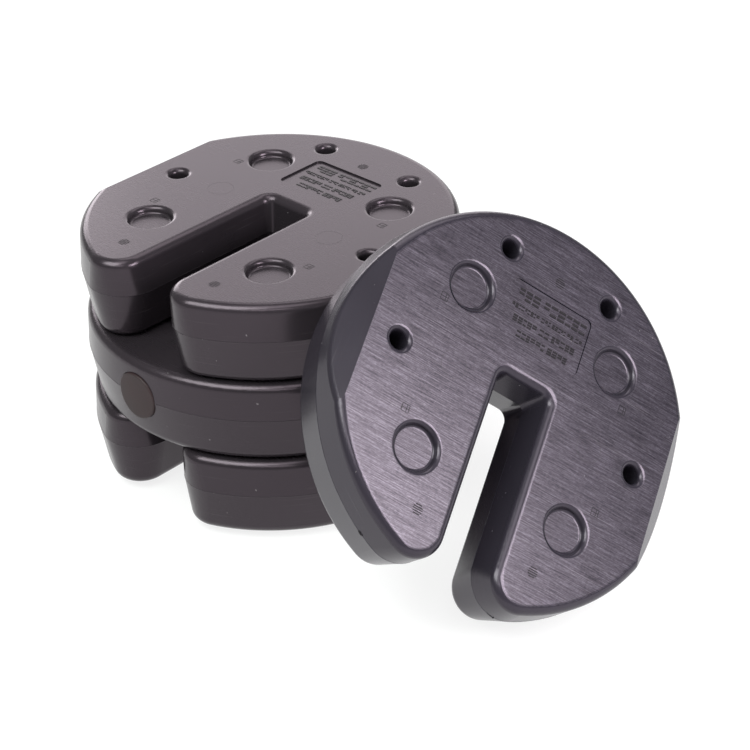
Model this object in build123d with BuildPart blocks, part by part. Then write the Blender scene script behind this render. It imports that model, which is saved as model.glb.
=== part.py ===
"""Set of four stackable canopy-leg weights, in millimetres, +Z up.

Each weight is a hollow moulded disc with a slot that slides round a canopy leg, a cured
ballast fill inside it and a plug in its filling neck.  Three weights stand in a stack,
the middle one turned half round, and the fourth leans against the stack's +X side.
The origin is on the floor, on the axis of the stack.
"""

from build123d import *
from math import cos, radians, sin, sqrt, tan
import os

# Body of one weight.  Its own frame has the underside at Z = 0 and the slot open to -Y.
body_radius = 114.3         # at the parting line
body_height = 52.4          # underside to top face, which is also the stacking pitch
parting_height = 30.0       # mould parting line above the underside
wall = 3.0                  # moulded wall thickness
fill_gap = 0.5              # cured fill shrinks away from the wall

# Sections of the body, and the draft of its walls away from the parting line
slot_half_width = 14.0      # at the parting line, the narrowest place
slot_end = 13.0             # closed end of the slot, past the centre
slot_corner_radius = 3.8
tip_radius_top = 17.0       # where the slot walls turn into the rim
tip_radius_waist = 22.5
tip_radius_bottom = 16.0
rim_draft_up = 3.0
rim_draft_down = 9.0
slot_draft_up = 9.0
slot_draft_down = 9.5
top_fillet = 5.4
bottom_fillet = 7.0

# Flat bevels on the left and right of the top edge
bevel_offset = 99.7         # straight edge of a bevel from the centre
bevel_angle = 45.0          # slope below the top face

# Four locating pockets on top and the four feet underneath that nest in them
pocket_spacing = 101.1
pocket_radius = 13.4        # at the top of the pocket wall
pocket_floor_radius = 12.4
pocket_depth = 4.3
pocket_lip_fillet = 3.0
pocket_floor_fillet = 1.5
foot_tip_radius = 8.0
foot_base_radius = 11.5
foot_height = 3.8

# Lashing holes, right through
hole_radius = 5.3
hole_lip_fillet = 3.3
side_hole_x = 80.9
back_hole_x = 35.3
back_hole_y = 84.4

# Sunk label panel on the closed side of the top face
panel_width = 54.6
panel_front = 34.4
panel_back = 70.4
panel_corner_radius = 3.5
panel_depth = 1.1

# Filling neck and its plug, in the closed edge
neck_radius = 18.0          # thick ring moulded round the neck
neck_depth = 9.0
neck_bore_radius = 11.5
plug_radius = 14.6
plug_seat_radius = 14.9
plug_seat_depth = 3.6
plug_edge_fillet = 0.9
plug_shank_radius = 11.3
plug_shank_length = 11.0
plug_core_radius = 8.6
plug_face_thickness = 3.0
plug_proud = 0.6
plug_clearance = 0.1
air_space = 13.0            # left above the fill when the weight stands on its slot

# Leaning weight: heading and tilt of its top face, turn of its slot, centre of that face
lean_heading = -6.5
lean_tilt = 51.8
lean_turn = 40.2
lean_centre = (206.5, -14.9, 116.5)

pocket_places = GridLocations(pocket_spacing, pocket_spacing, 2, 2).locations
hole_places = [
    Location((-side_hole_x, 0)),
    Location((side_hole_x, 0)),
    Location((-back_hole_x, back_hole_y)),
    Location((back_hole_x, back_hole_y)),
]


def section(height, rim_inset, slot_inset, tip_radius, inset):
    """Horizontal section: a disc with a slot, its rim and slot walls drawn in."""
    radius = body_radius - rim_inset - inset
    half_width = slot_half_width + slot_inset + inset
    end = slot_end + slot_inset + inset
    mouth = -sqrt(radius**2 - half_width**2)
    corner_radius = slot_corner_radius + slot_inset / 2 + inset
    with BuildSketch(Plane.XY.offset(height)) as outline:
        with BuildLine():
            Polyline((half_width, mouth), (half_width, end), (-half_width, end), (-half_width, mouth))
            ThreePointArc((-half_width, mouth), (0, radius), (half_width, mouth))
        make_face()
        fillet(outline.vertices().group_by(Axis.Y)[0], tip_radius - inset)
        fillet(outline.vertices().filter_by_position(Axis.Y, end - 1, end + 1), corner_radius)
    return outline.sketch


def body(inset):
    """Body of a weight without pockets or holes, with every face moved in by inset."""
    rise = body_height - parting_height
    top = body_height - inset
    slope = radians(bevel_angle)
    waist = section(parting_height, 0, 0, tip_radius_waist, inset)
    upper = section(
        top, rise * tan(radians(rim_draft_up)), rise * tan(radians(slot_draft_up)), tip_radius_top, inset
    )
    lower = section(
        inset,
        parting_height * tan(radians(rim_draft_down)),
        parting_height * tan(radians(slot_draft_down)),
        tip_radius_bottom,
        inset,
    )
    with BuildPart() as solid:
        loft([waist, upper], ruled=True)
        loft([lower, waist], ruled=True)
        for side in (-1, 1):
            normal = Vector(side * sin(slope), 0, cos(slope))
            start = Vector(side * bevel_offset, 0, body_height) - normal * inset
            split(bisect_by=Plane(start, z_dir=normal), keep=Keep.BOTTOM)
        bevels = solid.faces().filter_by(lambda face: abs(face.normal_at().Z - cos(slope)) < 0.01)
        ridges = bevels.edges().filter_by(GeomType.LINE)
        arrises = solid.edges().group_by(Axis.Z)[-1] + bevels.edges()
        fillet(arrises.filter_by(lambda edge: edge not in ridges), top_fillet - inset)
        fillet(solid.edges().group_by(Axis.Z)[0], bottom_fillet - inset)
    return solid.part


def pocket(offset):
    """Locating pocket as a solid to take away, its walls moved out by offset."""
    with BuildPart() as space:
        with BuildSketch(Plane.XZ):
            with BuildLine():
                Polyline(
                    (0, body_height),
                    (pocket_radius + offset, body_height),
                    (pocket_floor_radius + offset, body_height - pocket_depth - offset),
                    (0, body_height - pocket_depth - offset),
                    close=True,
                )
            make_face()
        revolve(axis=Axis.Z)
    return space.part


def foot():
    """Foot under the body, a shallow cone that nests in the pocket of the weight below."""
    with BuildPart() as cone:
        with BuildSketch(Plane.XZ):
            with BuildLine():
                Polyline(
                    (0, wall / 2),
                    (foot_base_radius, wall / 2),
                    (foot_base_radius, 0),
                    (foot_tip_radius, -foot_height),
                    (0, -foot_height),
                    close=True,
                )
            make_face()
        revolve(axis=Axis.Z)
    return cone.part


def neck_plane(distance):
    """Plane across the filling neck, facing out of the closed edge."""
    return Plane((0, distance, parting_height), x_dir=(-1, 0, 0), z_dir=(0, 1, 0))


def cavity(inset):
    """Space inside the wall, less the wall round pockets, holes and the filling neck."""
    skin = inset
    with BuildPart() as space:
        add(body(inset))
        with Locations(pocket_places):
            add(pocket(skin), mode=Mode.SUBTRACT)
        with Locations(hole_places):
            Cylinder(hole_radius + skin, 3 * body_height, mode=Mode.SUBTRACT)
        with BuildSketch(neck_plane(body_radius)):
            Circle(neck_radius + skin - wall)
        extrude(amount=-neck_depth - skin, mode=Mode.SUBTRACT)
    return space.part


def make_shell():
    """One-piece moulded shell with pockets, feet, holes, label panel and filling neck."""
    with BuildPart() as shell:
        add(body(0))
        with Locations(pocket_places):
            add(foot())
            add(pocket(0), mode=Mode.SUBTRACT)
        with Locations(hole_places):
            Cylinder(hole_radius, 3 * body_height, mode=Mode.SUBTRACT)
        circles = shell.edges().filter_by(GeomType.CIRCLE)
        rims = circles.filter_by_position(Axis.Z, body_height - 0.1, body_height + 0.1)
        fillet(rims.filter_by(lambda edge: abs(edge.radius - pocket_radius) < 0.1), pocket_lip_fillet)
        circles = shell.edges().filter_by(GeomType.CIRCLE)
        fillet(circles.filter_by(lambda edge: abs(edge.radius - hole_radius) < 0.1), hole_lip_fillet)
        circles = shell.edges().filter_by(GeomType.CIRCLE)
        floor_level = body_height - pocket_depth
        floors = circles.filter_by_position(Axis.Z, floor_level - 0.1, floor_level + 0.1)
        fillet(floors, pocket_floor_fillet)
        with BuildSketch(Plane.XY.offset(body_height)):
            with Locations((0, (panel_front + panel_back) / 2)):
                RectangleRounded(panel_width, panel_back - panel_front, panel_corner_radius)
        extrude(amount=-panel_depth, mode=Mode.SUBTRACT)
        with BuildSketch(neck_plane(body_radius - plug_seat_depth)):
            Circle(plug_seat_radius)
        extrude(amount=2 * plug_seat_depth, mode=Mode.SUBTRACT)
        add(cavity(wall), mode=Mode.SUBTRACT)
        with BuildSketch(neck_plane(body_radius)):
            Circle(neck_bore_radius)
        extrude(amount=-2 * neck_depth, mode=Mode.SUBTRACT)
    return shell.part


def make_fill():
    """Cured sand and cement, cast inside the shell up to the air space at the neck."""
    with BuildPart() as fill:
        add(cavity(wall + fill_gap))
        split(bisect_by=neck_plane(body_radius - wall - air_space), keep=Keep.BOTTOM)
    return fill.part


def make_plug():
    """Push-in plug: a disc that follows the curve of the edge, and a hollow shank."""
    face = body_radius + plug_proud
    seat = body_radius - plug_seat_depth + plug_clearance
    with BuildPart() as plug:
        with BuildSketch(neck_plane(seat)):
            Circle(plug_radius)
        extrude(amount=2 * plug_seat_depth)
        with Locations((0, 0, parting_height)):
            Cylinder(face, 4 * plug_radius, mode=Mode.INTERSECT)
        fillet(plug.edges().sort_by(Axis.Y)[-1], plug_edge_fillet)
        with BuildSketch(neck_plane(seat)):
            Circle(plug_shank_radius)
        extrude(amount=-plug_shank_length)
        with BuildSketch(neck_plane(seat - plug_shank_length)):
            Circle(plug_core_radius)
        extrude(amount=plug_shank_length + plug_seat_depth - plug_face_thickness, mode=Mode.SUBTRACT)
    return plug.part


def places():
    """Where each of the four weights stands, from its own frame to the frame of the set."""
    lean = (
        Pos(*lean_centre)
        * Rot(0, 0, lean_heading)
        * Rot(0, lean_tilt, 0)
        * Rot(0, 0, lean_turn)
        * Pos(0, 0, -body_height)
    )
    return {
        "base": Pos(0, 0, foot_height),
        "middle": Pos(0, 0, foot_height + body_height) * Rot(0, 0, 180),
        "top": Pos(0, 0, foot_height + 2 * body_height),
        "leaning": lean,
    }


def main():
    pieces = {"shell": make_shell(), "fill": make_fill(), "plug": make_plug()}
    os.makedirs("parts", exist_ok=True)
    for weight, place in places().items():
        for piece, solid in pieces.items():
            with BuildPart() as placed:
                with Locations(place):
                    add(solid)
            placed.part.label = f"{weight}_{piece}"
            export_step(placed.part, f"parts/{placed.part.label}.step")


if __name__ == "__main__":
    main()
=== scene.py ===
"""Looks of a set of four slotted canopy-leg weights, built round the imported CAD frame."""

import math
import random

import bmesh
import bpy
from mathutils import Matrix, Vector


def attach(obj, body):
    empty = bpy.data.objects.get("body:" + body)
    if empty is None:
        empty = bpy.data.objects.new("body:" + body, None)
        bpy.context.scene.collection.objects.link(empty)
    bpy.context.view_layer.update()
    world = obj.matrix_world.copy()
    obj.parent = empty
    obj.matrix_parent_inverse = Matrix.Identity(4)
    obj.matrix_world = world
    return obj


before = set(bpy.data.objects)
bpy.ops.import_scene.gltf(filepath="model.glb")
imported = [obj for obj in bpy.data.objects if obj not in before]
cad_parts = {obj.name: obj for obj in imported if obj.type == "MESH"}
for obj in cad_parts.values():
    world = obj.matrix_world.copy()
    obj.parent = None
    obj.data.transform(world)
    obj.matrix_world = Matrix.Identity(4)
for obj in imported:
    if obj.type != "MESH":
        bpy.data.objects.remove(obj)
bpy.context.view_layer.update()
MM = 0.001
WEIGHTS = ("base", "middle", "top", "leaning")

# Sizes of one weight in mm, in its own frame: underside at Z = 0, slot open to -Y
HEIGHT = 52.4
PARTING_HEIGHT = 30.0
RADIUS = 114.3
SLOT_HALF_WIDTH = 14.0
SLOT_END = 13.0
SLOT_CORNER = 3.8
TIP_RADIUS = 22.5
PANEL_DEPTH = 1.1
PANEL_MIDDLE = 52.4
PLUG_RADIUS = 14.9
FOOT_HEIGHT = 3.8

# Where the leaning weight stands: centre of its top face in mm, and its turns in degrees
LEAN_CENTRE = (206.5, -14.9, 116.5)
LEAN_HEADING, LEAN_TILT, LEAN_TURN = -6.5, 51.8, 40.2


def turn(axis, degrees):
    return Matrix.Rotation(math.radians(degrees), 4, axis)


def shift(x, y, z):
    return Matrix.Translation(Vector((x, y, z)) * MM)


PLACES = {
    "base": shift(0, 0, FOOT_HEIGHT),
    "middle": shift(0, 0, FOOT_HEIGHT + HEIGHT) @ turn("Z", 180),
    "top": shift(0, 0, FOOT_HEIGHT + 2 * HEIGHT),
    "leaning": shift(*LEAN_CENTRE)
    @ turn("Z", LEAN_HEADING)
    @ turn("Y", LEAN_TILT)
    @ turn("Z", LEAN_TURN)
    @ shift(0, 0, -HEIGHT),
}


# Materials


class Nodes:
    """Short calls for building one material's node tree."""

    def __init__(self, name):
        self.material = bpy.data.materials.new(name)
        self.material.use_nodes = True
        self.tree = self.material.node_tree
        self.shader = self.tree.nodes["Principled BSDF"]

    def add(self, kind, **settings):
        node = self.tree.nodes.new(kind)
        for key, value in settings.items():
            setattr(node, key, value)
        return node

    def link(self, source, target):
        self.tree.links.new(source, target)

    def local(self, place):
        """Position in a weight's own frame, in metres."""
        inverse = place.inverted()
        mapping = self.add("ShaderNodeMapping")
        mapping.inputs["Location"].default_value = inverse.translation
        mapping.inputs["Rotation"].default_value = inverse.to_euler("XYZ")
        self.link(self.add("ShaderNodeTexCoord").outputs["Object"], mapping.inputs["Vector"])
        return mapping.outputs["Vector"]

    def stretched(self, position, scale):
        mapping = self.add("ShaderNodeMapping")
        mapping.inputs["Scale"].default_value = scale
        self.link(position, mapping.inputs["Vector"])
        return mapping.outputs["Vector"]

    def noise(self, position, scale, detail=3.0, roughness=0.5):
        node = self.add("ShaderNodeTexNoise")
        node.inputs["Scale"].default_value = scale
        node.inputs["Detail"].default_value = detail
        node.inputs["Roughness"].default_value = roughness
        self.link(position, node.inputs["Vector"])
        return node.outputs["Fac"]

    def ramp(self, value, stops):
        """Greys or colours along a value, from a list of (place, colour)."""
        node = self.add("ShaderNodeValToRGB")
        elements = node.color_ramp.elements
        while len(elements) < len(stops):
            elements.new(0.5)
        for element, (at, colour) in zip(elements, stops):
            element.position = at
            rgb = colour if isinstance(colour, tuple) else (colour,) * 3
            element.color = (*rgb, 1.0)
        self.link(value, node.inputs["Fac"])
        return node.outputs["Color"]

    def mix(self, factor, a, b, blend="MIX"):
        node = self.add("ShaderNodeMix", data_type="RGBA", blend_type=blend)
        for source, target in ((factor, 0), (a, 6), (b, 7)):
            if isinstance(source, bpy.types.NodeSocket):
                self.link(source, node.inputs[target])
            elif target == 0:
                node.inputs[0].default_value = source
            else:
                node.inputs[target].default_value = (*source, 1.0)
        return node.outputs[2]

    def calculate(self, operation, a, b, c=None):
        node = self.add("ShaderNodeMath", operation=operation)
        for index, value in enumerate((a, b, c)):
            if isinstance(value, bpy.types.NodeSocket):
                self.link(value, node.inputs[index])
            elif value is not None:
                node.inputs[index].default_value = value
        return node.outputs[0]

    def between(self, value, low, high, soft):
        """1 where the value is between low and high, with soft edges."""
        rise = self.add("ShaderNodeMapRange", interpolation_type="SMOOTHSTEP")
        rise.inputs["From Min"].default_value = low - soft
        rise.inputs["From Max"].default_value = low + soft
        fall = self.add("ShaderNodeMapRange", interpolation_type="SMOOTHSTEP")
        fall.inputs["From Min"].default_value = high + soft
        fall.inputs["From Max"].default_value = high - soft
        self.link(value, rise.inputs["Value"])
        self.link(value, fall.inputs["Value"])
        return self.calculate("MULTIPLY", rise.outputs[0], fall.outputs[0])

    def facing(self, place, least):
        """1 where the surface's cosine to the weight's own +Z is over least."""
        node = self.add("ShaderNodeVectorMath", operation="DOT_PRODUCT")
        self.link(self.add("ShaderNodeNewGeometry").outputs["Normal"], node.inputs[0])
        node.inputs[1].default_value = place.to_3x3() @ Vector((0.0, 0.0, 1.0))
        return self.between(node.outputs["Value"], least, 2.0, 0.01)

    def bump(self, height, strength, distance, below=None):
        node = self.add("ShaderNodeBump")
        node.inputs["Strength"].default_value = strength
        node.inputs["Distance"].default_value = distance
        self.link(height, node.inputs["Height"])
        if below is not None:
            self.link(below, node.inputs["Normal"])
        return node.outputs["Normal"]


# Ramps of the brushed face: shine along the brush lines and in their grain, and the lines' shade
SHEEN = [(0.36, 0.31), (0.5, 0.50), (0.64, 0.75)]
GRAIN_SHEEN = [(0.34, 0.66), (0.66, 1.38)]
LINE_SHADE = [(0.30, 0.55), (0.5, 1.0), (0.70, 1.7)]
SKIN_SHEEN = 0.44
SCRATCH_COLOUR = (0.30, 0.27, 0.30)
SCUFF_COLOUR = (0.16, 0.14, 0.15)
DUST_COLOUR = (0.35, 0.33, 0.34)


def scaled(colour, factor):
    return tuple(factor * channel for channel in colour)


def moulded_plastic(name, place, brushing, shade, tint):
    """Dark moulded polyethylene: satin skin, scuffed walls and a top face with brush lines."""
    nodes = Nodes(name)
    nodes.shader.inputs["Specular Tint"].default_value = (*tint, 1.0)
    position = nodes.local(place)
    split = nodes.add("ShaderNodeSeparateXYZ")
    nodes.link(position, split.inputs["Vector"])
    height = split.outputs["Z"]
    face = nodes.facing(place, 0.985)
    walls = nodes.between(height, 4.0 * MM, (HEIGHT - 7.0) * MM, 2.0 * MM)
    clouds = nodes.noise(position, 16.0, 4.0)
    grain = nodes.noise(position, 1500.0, 2.0)
    specks = nodes.noise(position, 420.0, 1.0)
    # Brush lines run along X on the top face, with some across them, and scuffs level on walls
    fine = nodes.noise(nodes.stretched(position, (520.0, 1900.0, 520.0)), 1.0, 2.0, 0.7)
    lines = nodes.noise(nodes.stretched(position, (60.0, 1550.0, 60.0)), 1.0, 2.0, 0.6)
    scratches = nodes.noise(nodes.stretched(position, (22.0, 1300.0, 22.0)), 1.0, 1.0, 0.4)
    crossing = nodes.noise(nodes.stretched(position, (1500.0, 200.0, 200.0)), 1.0, 2.0, 0.6)
    scuffs = nodes.noise(nodes.stretched(position, (26.0, 26.0, 900.0)), 1.0, 3.0, 0.6)
    brushed = nodes.calculate("MULTIPLY", face, brushing)

    base = nodes.ramp(clouds, [(0.3, scaled(shade, 0.9)), (0.7, scaled(shade, 1.1))])
    lined = nodes.mix(1.0, base, nodes.ramp(lines, LINE_SHADE), "MULTIPLY")
    scratched = nodes.ramp(scratches, [(0.64, 0.0), (0.76, 1.0)])
    scratched = nodes.calculate("MULTIPLY", scratched, 0.12)
    colour = nodes.mix(brushed, base, nodes.mix(scratched, lined, SCRATCH_COLOUR))
    worn = nodes.calculate("MULTIPLY", nodes.ramp(scuffs, [(0.62, 0.0), (0.78, 1.0)]), walls)
    colour = nodes.mix(nodes.calculate("MULTIPLY", worn, 0.10), colour, SCUFF_COLOUR)
    dotted = nodes.ramp(specks, [(0.80, 0.0), (0.83, 1.0)])
    colour = nodes.mix(nodes.calculate("MULTIPLY", dotted, 0.35), colour, DUST_COLOUR)
    nodes.link(colour, nodes.shader.inputs["Base Color"])

    woven = nodes.calculate("MULTIPLY_ADD", crossing, 0.2, nodes.calculate("MULTIPLY", lines, 0.8))
    sheen = nodes.calculate("MULTIPLY", nodes.ramp(woven, SHEEN), nodes.ramp(fine, GRAIN_SHEEN))
    level = nodes.add("ShaderNodeMix")
    nodes.link(brushed, level.inputs[0])
    level.inputs[2].default_value = SKIN_SHEEN
    nodes.link(sheen, level.inputs[3])
    nodes.link(level.outputs[0], nodes.shader.inputs["Specular IOR Level"])

    face_lines = nodes.calculate("MULTIPLY", lines, face)
    rough = nodes.calculate("MULTIPLY_ADD", clouds, 0.08, 0.20)
    rough = nodes.calculate("MULTIPLY_ADD", face_lines, 0.16 * brushing + 0.05, rough)
    nodes.link(rough, nodes.shader.inputs["Roughness"])

    normal = nodes.bump(grain, 0.08, 0.12 * MM)
    normal = nodes.bump(nodes.calculate("MULTIPLY", scuffs, walls), 0.12, 0.20 * MM, normal)
    normal = nodes.bump(face_lines, 0.16 * brushing, 0.12 * MM, normal)
    face_grain = nodes.calculate("MULTIPLY", fine, face)
    normal = nodes.bump(face_grain, 0.40 * brushing, 0.08 * MM, normal)
    nodes.link(normal, nodes.shader.inputs["Normal"])
    return nodes.material


def flat_plastic(name, shade, roughness, sheen=0.5):
    """Plain satin plastic for the plugs, the label's dashes, the rings and the mould marks."""
    nodes = Nodes(name)
    position = nodes.add("ShaderNodeTexCoord").outputs["Object"]
    clouds = nodes.noise(position, 90.0, 3.0)
    grain = nodes.noise(position, 1200.0, 2.0)
    nodes.shader.inputs["Specular IOR Level"].default_value = sheen
    colour = nodes.ramp(clouds, [(0.3, scaled(shade, 0.85)), (0.7, scaled(shade, 1.2))])
    nodes.link(colour, nodes.shader.inputs["Base Color"])
    nodes.link(
        nodes.calculate("MULTIPLY_ADD", clouds, 0.12, roughness), nodes.shader.inputs["Roughness"]
    )
    nodes.link(nodes.bump(grain, 0.15, 0.2 * MM), nodes.shader.inputs["Normal"])
    return nodes.material


def cured_mix(name):
    """Cured sand and cement, sealed inside the shells."""
    nodes = Nodes(name)
    position = nodes.add("ShaderNodeTexCoord").outputs["Object"]
    sand = nodes.noise(position, 1400.0, 4.0, 0.7)
    stains = nodes.noise(position, 30.0, 4.0)
    colour = nodes.mix(
        nodes.calculate("MULTIPLY", stains, 0.5),
        nodes.ramp(sand, [(0.35, (0.22, 0.20, 0.18)), (0.65, (0.48, 0.45, 0.40))]),
        (0.36, 0.35, 0.33),
    )
    nodes.link(colour, nodes.shader.inputs["Base Color"])
    nodes.shader.inputs["Roughness"].default_value = 0.92
    nodes.link(nodes.bump(sand, 0.6, 0.5 * MM), nodes.shader.inputs["Normal"])
    return nodes.material


def studio_white(name):
    """Plain floor with a white glow of its own, so that it shows as pale as the photograph's."""
    nodes = Nodes(name)
    position = nodes.add("ShaderNodeTexCoord").outputs["Object"]
    paper = nodes.ramp(nodes.noise(position, 6.0, 2.0), [(0.0, 0.17), (1.0, 0.19)])
    nodes.link(paper, nodes.shader.inputs["Base Color"])
    nodes.shader.inputs["Roughness"].default_value = 0.8
    nodes.shader.inputs["Emission Color"].default_value = (1.0, 1.0, 1.0, 1.0)
    nodes.shader.inputs["Emission Strength"].default_value = 0.82
    nodes.shader.inputs["Specular IOR Level"].default_value = 0.1
    return nodes.material


CHARCOAL = (0.0165, 0.0135, 0.0162)
DARK_VIOLET = (0.0160, 0.0140, 0.0195)
MAUVE, VIOLET = (1.0, 0.82, 0.95), (0.98, 0.87, 1.0)
STACKED_BRUSHING, LEANING_BRUSHING = 0.03, 1.0
shells = {
    name: moulded_plastic(f"shell_{name}", PLACES[name], STACKED_BRUSHING, CHARCOAL, MAUVE)
    for name in WEIGHTS[:3]
}
shells["leaning"] = moulded_plastic(
    "shell_leaning", PLACES["leaning"], LEANING_BRUSHING, DARK_VIOLET, VIOLET
)
plug_plastic = flat_plastic("plug_plastic", (0.020, 0.009, 0.010), 0.50, 0.38)
detail_plastic = flat_plastic("detail_plastic", (0.014, 0.0115, 0.0135), 0.42, 0.38)
# Much darker than the shell's charcoal: painted shade for the fine raised marks, and the nicks
# take it too
painted_shade_plastic = flat_plastic("painted_shade_plastic", (0.010, 0.008, 0.010), 0.50, 0.20)
ballast = cured_mix("cured_ballast")

for name in WEIGHTS:
    for part, material in (("shell", shells[name]), ("plug", plug_plastic), ("fill", ballast)):
        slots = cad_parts[f"{name}_{part}"].data.materials
        slots.clear()
        slots.append(material)


# Moulded details


def waist_outline():
    """The parting line as points in mm, from the slot's left mouth round the rim and back."""
    cx = SLOT_HALF_WIDTH + TIP_RADIUS
    cy = -math.sqrt((RADIUS - TIP_RADIUS) ** 2 - cx**2)
    touch = math.degrees(math.atan2(cy, cx))
    points = []

    def arc(x, y, radius, start, end, step):
        count = max(2, int(abs(end - start) / step))
        for i in range(count + 1):
            a = math.radians(start + (end - start) * i / count)
            points.append((x + radius * math.cos(a), y + radius * math.sin(a)))

    arc(SLOT_HALF_WIDTH - SLOT_CORNER, SLOT_END - SLOT_CORNER, SLOT_CORNER, 90, 0, 15)
    arc(cx, cy, TIP_RADIUS, 180, 360 + touch, 6)
    arc(0, 0, RADIUS, touch, 180 - touch, 2)
    arc(-cx, cy, TIP_RADIUS, 180 - touch, 360, 6)
    arc(SLOT_CORNER - SLOT_HALF_WIDTH, SLOT_END - SLOT_CORNER, SLOT_CORNER, 180, 90, 15)
    return points


def new_piece(body, detail, form, material):
    """Make one detail of a weight from its form, put it in place and let it ride the weight."""
    name = f"{body}_{detail}"
    mesh = bpy.data.meshes.new(name)
    form.to_mesh(mesh)
    form.free()
    mesh.transform(PLACES[body])
    mesh.materials.append(material)
    piece = bpy.data.objects.new(name, mesh)
    bpy.context.scene.collection.objects.link(piece)
    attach(piece, body)


# Flash in mm: how far it stands out, how deep it is rooted, and how far it reaches over the plug
BEAD_STEP = 3.0
BEAD_PROUD, BEAD_UNEVEN = 0.07, 0.06
BEAD_ROOT, BEAD_SUNK, BEAD_HALF_HEIGHT = 0.5, 0.02, 0.28
BEAD_OVER_PLUG = 0.3


def parting_bead(name):
    """Thin flash along the mould's parting line, broken where the filling plug sits."""
    outline = waist_outline()
    dense = []
    for a, b in zip(outline, outline[1:] + outline[:1]):
        steps = max(1, int(math.dist(a, b) / BEAD_STEP))
        dense += [
            (a[0] + (b[0] - a[0]) * i / steps, a[1] + (b[1] - a[1]) * i / steps)
            for i in range(steps)
        ]
    draw = random.Random(7 + WEIGHTS.index(name))
    form = bmesh.new()
    rings = []
    count = len(dense)
    for i, (x, y) in enumerate(dense):
        before, after = Vector(dense[i - 1]), Vector(dense[(i + 1) % count])
        along = (after - before).normalized()
        out = Vector((along.y, -along.x))
        proud = BEAD_PROUD + BEAD_UNEVEN * draw.random()
        if y > 0 and abs(x) < PLUG_RADIUS - BEAD_OVER_PLUG:
            rings.append(None)
            continue
        profile = (
            (-BEAD_ROOT, 0.0),
            (-BEAD_SUNK, BEAD_HALF_HEIGHT),
            (proud, 0.0),
            (-BEAD_SUNK, -BEAD_HALF_HEIGHT),
        )
        rings.append(
            [
                form.verts.new(Vector((x + out.x * o, y + out.y * o, PARTING_HEIGHT + h)) * MM)
                for o, h in profile
            ]
        )
    for i in range(count):
        a, b = rings[i], rings[(i + 1) % count]
        if a and b:
            for j in range(4):
                form.faces.new((a[j], a[(j + 1) % 4], b[(j + 1) % 4], b[j]))
        elif a or b:
            form.faces.new(a or b)
    bmesh.ops.recalc_face_normals(form, faces=form.faces)
    new_piece(name, "parting_bead", form, shells[name])


BAR_ROOT = 0.2
# Rows of the label: middle, height, left end, right end, least and most dash width, stroke
LABEL_ROWS = (
    (11.0, 6.4, -22.0, 22.0, (3.4, 4.8), 1.5),
    (2.8, 2.8, -24.0, 24.0, (1.2, 2.4), 0.8),
    (-4.4, 4.0, -21.0, 21.0, (2.2, 3.2), 1.1),
    (-12.2, 4.0, -16.0, 18.0, (2.2, 3.2), 1.1),
)
DASH_FORMS = ((-0.5, 0.5), (-0.5, 0.0, 0.5), (0.0, 0.5))
DASH_GAPS = (0.14, 0.14, 0.14, 0.14, 0.5)
DASH_RISE = 0.32
EASE = 0.1


def raised_bar(form, x, y, width, depth, z, rise, ease, corner=0.25):
    """A low bar with eased corners, rooted below z and up to z + rise, all in mm."""
    radius = min(corner, width / 2.01, depth / 2.01)
    half_w, half_d = width / 2 - radius, depth / 2 - radius
    inner = max(radius - ease, 0.02)
    loops = []
    for level, reach in ((z - BAR_ROOT, radius), (z + rise * 0.5, radius), (z + rise, inner)):
        loop = []
        for quarter, (sx, sy) in enumerate(((1, 1), (-1, 1), (-1, -1), (1, -1))):
            for step in range(4):
                a = math.radians(90 * quarter + 30 * step)
                corner_point = (
                    x + sx * half_w + reach * math.cos(a),
                    y + sy * half_d + reach * math.sin(a),
                    level,
                )
                loop.append(form.verts.new(Vector(corner_point) * MM))
        loops.append(loop)
    for low, high in zip(loops, loops[1:]):
        for i in range(len(low)):
            j = (i + 1) % len(low)
            form.faces.new((low[i], low[j], high[j], high[i]))
    form.faces.new(loops[-1])
    form.faces.new(reversed(loops[0]))


def label_bars(name):
    """Rows of plain raised dashes on the sunk label panel, where a label's lettering would be."""
    draw = random.Random(21)
    form = bmesh.new()
    panel_floor = HEIGHT - PANEL_DEPTH
    for y, depth, left, right, width, stroke in LABEL_ROWS:
        x = left
        while x < right:
            size = draw.uniform(*width)
            for offset in DASH_FORMS[draw.randrange(3)]:
                at = PANEL_MIDDLE + (y + offset * (depth - stroke))
                raised_bar(form, x + size / 2, at, size, stroke, panel_floor, DASH_RISE, EASE)
            x += size + depth * draw.choice(DASH_GAPS)
    # The leaning weight's dashes take the darker plastic: painted shade of its lettering
    material = painted_shade_plastic if name == "leaning" else detail_plastic
    new_piece(name, "label_bars", form, material)


# Marks on the top face in mm: centres of the vents and cavity marks, and their sizes
VENTS = ((-38.5, -81.8), (38.5, -81.8), (0.0, 81.0))
VENT_RADIUS, VENT_PITCH, VENT_LINE, VENT_RISE = 3.3, 1.3, 0.6, 0.14
CAVITY_MARKS = ((-64.5, -34.0), (64.5, -32.5), (62.0, 31.5), (-64.5, 36.0))
CAVITY_SIZE, CAVITY_LINE, CAVITY_RISE = 4.6, 0.4, 0.06
# Ejector rings: centre and radius, and the ring's section as (outwards, up)
EJECTOR_RINGS = ((48.9, 0.0, 8.0), (-46.0, 3.0, 8.0))
RING_SECTION = ((0.35, -0.1), (0.0, 0.04), (-0.35, -0.1))
RING_STEPS = 48
# Nicks in the flash: centre, length and heading in degrees
NICKS = ((-54.9, -100.2, 3.2, -29.0), (33.9, -106.4, 5.4, -6.0))
NICK_GRAINS = 5


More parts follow.
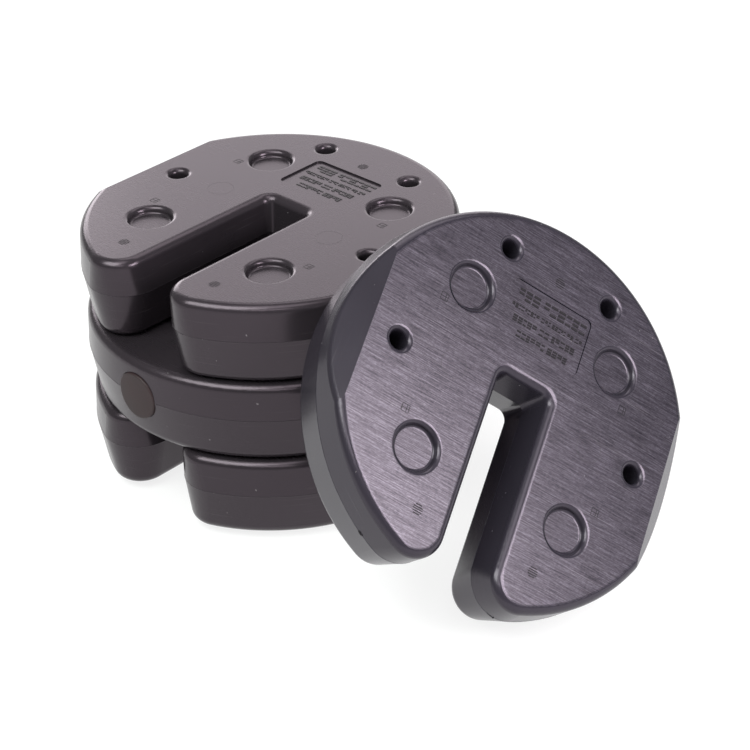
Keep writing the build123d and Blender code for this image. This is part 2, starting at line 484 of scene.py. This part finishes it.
def vent_marks(name):
    """Round vents, each a disc of fine lines, and small square cavity marks on the top face."""
    form = bmesh.new()
    for x, y in VENTS:
        for row in range(-2, 3):
            offset = row * VENT_PITCH
            half = math.sqrt(VENT_RADIUS**2 - offset**2)
            raised_bar(form, x, y + offset, 2 * half, VENT_LINE, HEIGHT, VENT_RISE, EASE)
    for x, y in CAVITY_MARKS:
        for offset in (-CAVITY_SIZE / 2, 0.0, CAVITY_SIZE / 2):
            raised_bar(form, x, y + offset, CAVITY_SIZE, CAVITY_LINE, HEIGHT, CAVITY_RISE, EASE)
        for offset in (-CAVITY_SIZE / 2, 0.8, CAVITY_SIZE / 2):
            raised_bar(form, x + offset, y, CAVITY_LINE, CAVITY_SIZE, HEIGHT, CAVITY_RISE, EASE)
    # The vent and cavity marks take the darker plastic: painted shade between their fine lines
    new_piece(name, "vent_marks", form, painted_shade_plastic)


def ejector_rings(name):
    """Faint rings left on the top face by the mould's ejectors."""
    form = bmesh.new()
    for x, y, radius in EJECTOR_RINGS:
        loops = []
        for i in range(RING_STEPS):
            a = 2 * math.pi * i / RING_STEPS
            corners = [
                (x + (radius + o) * math.cos(a), y + (radius + o) * math.sin(a), HEIGHT + h)
                for o, h in RING_SECTION
            ]
            loops.append([form.verts.new(Vector(corner) * MM) for corner in corners])
        for i, ring in enumerate(loops):
            following = loops[(i + 1) % len(loops)]
            for j in range(3):
                k = (j + 1) % 3
                form.faces.new((ring[j], following[j], following[k], ring[k]))
    bmesh.ops.recalc_face_normals(form, faces=form.faces)
    new_piece(name, "ejector_rings", form, detail_plastic)


def nicks(name):
    """Small dark nicks in the flash, one patch near the end of each leg."""
    form = bmesh.new()
    draw = random.Random(5)
    for x, y, length, heading in NICKS:
        a = math.radians(heading)
        for i in range(NICK_GRAINS):
            along = (i - NICK_GRAINS // 2) * length / NICK_GRAINS
            z = PARTING_HEIGHT + draw.uniform(-0.4, 0.4)
            centre = shift(x + along * math.cos(a), y + along * math.sin(a), z)
            radius = draw.uniform(0.4, 0.75) * MM
            bmesh.ops.create_icosphere(form, subdivisions=1, radius=radius, matrix=centre)
    # The nicks take the same darker plastic: painted shade
    new_piece(name, "nicks", form, painted_shade_plastic)


for name in WEIGHTS:
    parting_bead(name)
    label_bars(name)
    vent_marks(name)
    ejector_rings(name)
nicks("leaning")


# Studio, in metres

FLOOR_HALF = 14.0
SET_MIDDLE = (0.0, 0.0, 0.10)

floor_mesh = bpy.data.meshes.new("studio_floor")
floor_corners = [
    (FLOOR_HALF * x, FLOOR_HALF * y, 0) for x, y in ((-1, -1), (1, -1), (1, 1), (-1, 1))
]
floor_mesh.from_pydata(floor_corners, [], [(0, 1, 2, 3)])
floor = bpy.data.objects.new("studio_floor", floor_mesh)
floor_mesh.materials.append(studio_white("studio_white"))
bpy.context.scene.collection.objects.link(floor)

world = bpy.data.worlds.new("studio_world")
world.use_nodes = True
world.node_tree.nodes["Background"].inputs["Color"].default_value = (1.0, 1.0, 1.0, 1.0)
world.node_tree.nodes["Background"].inputs["Strength"].default_value = 0.32
bpy.context.scene.world = world


def softbox(name, position, target, width, height, watts, colour):
    """Rectangular light that the camera does not see, turned to its target."""
    light = bpy.data.lights.new(name, "AREA")
    light.shape = "RECTANGLE"
    light.size, light.size_y = width, height
    light.energy = watts
    light.color = colour
    lamp = bpy.data.objects.new(name, light)
    lamp.location = position
    lamp.visible_camera = False
    lamp.rotation_euler = (Vector(target) - Vector(position)).to_track_quat("-Z", "Y").to_euler()
    bpy.context.scene.collection.objects.link(lamp)


softbox("back_softbox", (-1.42, 1.48, 0.90), SET_MIDDLE, 1.8, 1.4, 15.0, (1.0, 0.93, 0.97))
softbox(
    "right_softbox",
    (0.679, 0.022, 0.409),
    (0.206, -0.015, 0.116),
    0.36,
    0.32,
    5.5,
    (1.0, 0.97, 1.0),
)
softbox("left_softbox", (-1.45, 0.54, 0.62), SET_MIDDLE, 0.7, 0.5, 5.0, (1.0, 0.95, 0.98))
softbox("front_softbox", (1.00, -1.05, 1.28), (0.05, 0.0, 0.10), 0.6, 0.3, 3.0, (1.0, 0.99, 1.0))
softbox("front_upper_softbox", (0.0, -0.95, 1.38), SET_MIDDLE, 1.1, 0.8, 26.0, (0.92, 1.0, 0.94))
softbox("upper_softbox", (-0.20, 0.72, 1.45), (0.1, 0.0, 0.10), 1.3, 0.5, 5.0, (1.0, 0.97, 0.98))

overhead = bpy.data.lights.new("overhead", "SUN")
overhead.energy = 0.7
overhead.angle = math.radians(32)
overhead_lamp = bpy.data.objects.new("overhead", overhead)
overhead_lamp.rotation_euler = Vector((0.2, -0.2, 1.0)).to_track_quat("Z", "Y").to_euler()
bpy.context.scene.collection.objects.link(overhead_lamp)

# Camera worked out from the photograph's outlines
CAMERA_LENS = 103.16
CAMERA_POSITION = (0.83466, -0.78339, 0.75181)
CAMERA_RIGHT = (0.73084, 0.68220, -0.02179)
CAMERA_UP = (-0.34533, 0.39712, 0.85032)
CAMERA_BACK = (0.58874, -0.61393, 0.52581)

camera_data = bpy.data.cameras.new("camera")
camera_data.sensor_width = 36.0
camera_data.lens = CAMERA_LENS
camera_data.clip_start = 0.05
camera_data.clip_end = 40.0
camera = bpy.data.objects.new("camera", camera_data)
camera_axes = Matrix((CAMERA_RIGHT, CAMERA_UP, CAMERA_BACK)).transposed().to_4x4()
camera.matrix_world = Matrix.Translation(CAMERA_POSITION) @ camera_axes
bpy.context.scene.collection.objects.link(camera)
bpy.context.scene.camera = camera

bpy.context.scene.view_settings.view_transform = "Standard"
